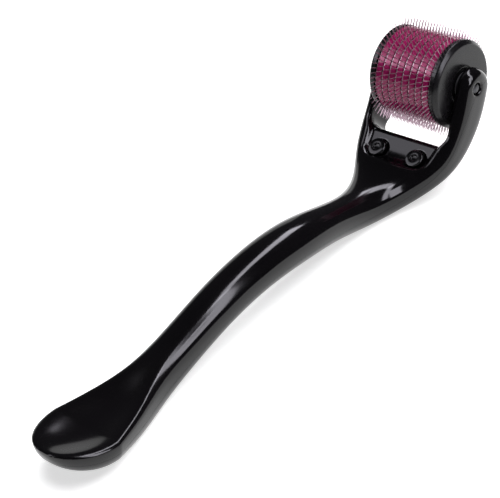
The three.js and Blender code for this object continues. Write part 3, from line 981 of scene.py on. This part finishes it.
# name, direction of one end, direction of the other end, spread in degrees, radiance, colour
REFLECTORS = (
    ("crest_strip", (-0.42, 0.74, 0.52), (-0.10, 0.34, 0.935), 10, 10, LAVENDER),
    ("overhead_strip", (-0.12, 0.34, 0.93), (0.10, 0.20, 0.975), 9, 10, LAVENDER),
    ("side_strip", (0.03, 0.20, 0.98), (0.88, 0.20, 0.45), 9, 10, LAVENDER),
    ("side_panel", (0.40, 0.02, 0.92), (0.93, -0.10, 0.33), 18, 10, LAVENDER),
    ("row_strip", (-0.55, -0.40, 0.72), (-0.56, -0.62, 0.55), 32, 7, LAVENDER),
    ("web_panel", (-0.565, -0.08, 0.82), (-0.58, -0.38, 0.72), 34, 3.0, LAVENDER),
    ("back_panel", (-0.97, 0.2, 0.12), (-0.68, 0.72, 0.12), 14, 0.8, WHITE),
)


def placed_matrix(x_axis, y_axis, z_axis, place):
    """The world matrix with these three axes at this place."""
    return Matrix((*zip(x_axis, y_axis, z_axis, place), (0, 0, 0, 1)))


def camera_axes():
    """The camera's right, up and back directions."""
    sa, ca = math.sin(CAMERA_AZIMUTH), math.cos(CAMERA_AZIMUTH)
    se, ce = math.sin(CAMERA_ELEVATION), math.cos(CAMERA_ELEVATION)
    back = Vector((sa * ce, -ca * ce, se))
    level_right = Vector((ca, sa, 0))
    level_up = back.cross(level_right)
    up = level_up * math.cos(CAMERA_ROLL) + level_right * math.sin(CAMERA_ROLL)
    return up.cross(back), up, back


def add_camera():
    right, up, back = camera_axes()
    data = bpy.data.cameras.new("camera")
    data.lens = LENS
    data.sensor_width = SENSOR_WIDTH
    data.clip_start = CLIP_START
    data.clip_end = CLIP_END
    camera = bpy.data.objects.new("camera", data)
    place = Vector(AXLE) + back * CAMERA_DISTANCE - right * AXLE_RIGHT - up * AXLE_ABOVE
    camera.matrix_world = placed_matrix(right, up, back, [value * MM for value in place])
    bpy.context.scene.collection.objects.link(camera)
    bpy.context.scene.camera = camera


def add_light(name, to_light, distance, width, height, radiance, long_axis=(0, 1, 0)):
    """A rectangular light of even radiance that faces the object from the direction to_light."""
    data = bpy.data.lights.new(name, "AREA")
    data.shape = "RECTANGLE"
    data.size = width
    data.size_y = height
    data.energy = math.pi * width * height * radiance
    light = bpy.data.objects.new(name, data)
    away = Vector(to_light).normalized()
    tall = Vector(long_axis) - away * away.dot(Vector(long_axis))
    tall.normalize()
    wide = tall.cross(away)
    light.matrix_world = placed_matrix(wide, tall, away, Vector(LIGHT_TARGET) + away * distance)
    bpy.context.scene.collection.objects.link(light)
    return light


def add_reflector(name, start, end, spread, radiance, color):
    """A bright panel that only shows in gloss. It spans two directions, seen from the object."""
    start, end = Vector(start).normalized(), Vector(end).normalized()
    middle = (start + end).normalized()
    length = 2 * REFLECTOR_DISTANCE * math.tan(start.angle(end) / 2)
    width = 2 * REFLECTOR_DISTANCE * math.tan(math.radians(spread) / 2)
    light = add_light(name, middle, REFLECTOR_DISTANCE, width, length, radiance, end - start)
    light.data.color = color
    light.visible_diffuse = False


def add_lights():
    """A soft key that gloss doesn't show, and the reflectors."""
    key = add_light("key", KEY_DIRECTION, KEY_DISTANCE, KEY_SIZE, KEY_SIZE, KEY_RADIANCE)
    key.visible_glossy = False
    for reflector in REFLECTORS:
        add_reflector(*reflector)


def add_floor():
    size = FLOOR_HALF_SIZE
    mesh = bpy.data.meshes.new("floor")
    corners = [(-size, -size, 0), (size, -size, 0), (size, size, 0), (-size, size, 0)]
    mesh.from_pydata(corners, [], [(0, 1, 2, 3)])
    mesh.materials.append(floor_paper())
    floor = bpy.data.objects.new("floor", mesh)
    bpy.context.scene.collection.objects.link(floor)


def add_world():
    world = bpy.data.worlds.new("studio")
    world.use_nodes = True
    background = world.node_tree.nodes["Background"]
    background.inputs["Color"].default_value = (0.9, 0.92, 1.0, 1)
    background.inputs["Strength"].default_value = 0.06
    bpy.context.scene.world = world
    bpy.context.scene.view_settings.view_transform = "Standard"


# ---------- assembly ----------

black = gloss_black()
points, quads = handle_surface()
shell("front_shell_look", "handle_front_shell", points, quads, 1, black)
shell("back_shell_look", "handle_back_shell", points, quads, -1, black)
add_pegs(black)
add_caps(cap_black())
magenta_plastic = magenta()
add_spacers(magenta_plastic)
add_hub(magenta_plastic)
needle_steel = steel_of_needles()
for number, node in enumerate(disc_names):
    needle_disc(node, number, needle_steel)
add_axle(steel_of_pin(), bush_plastic())

add_world()
add_lights()
add_floor()
add_camera()
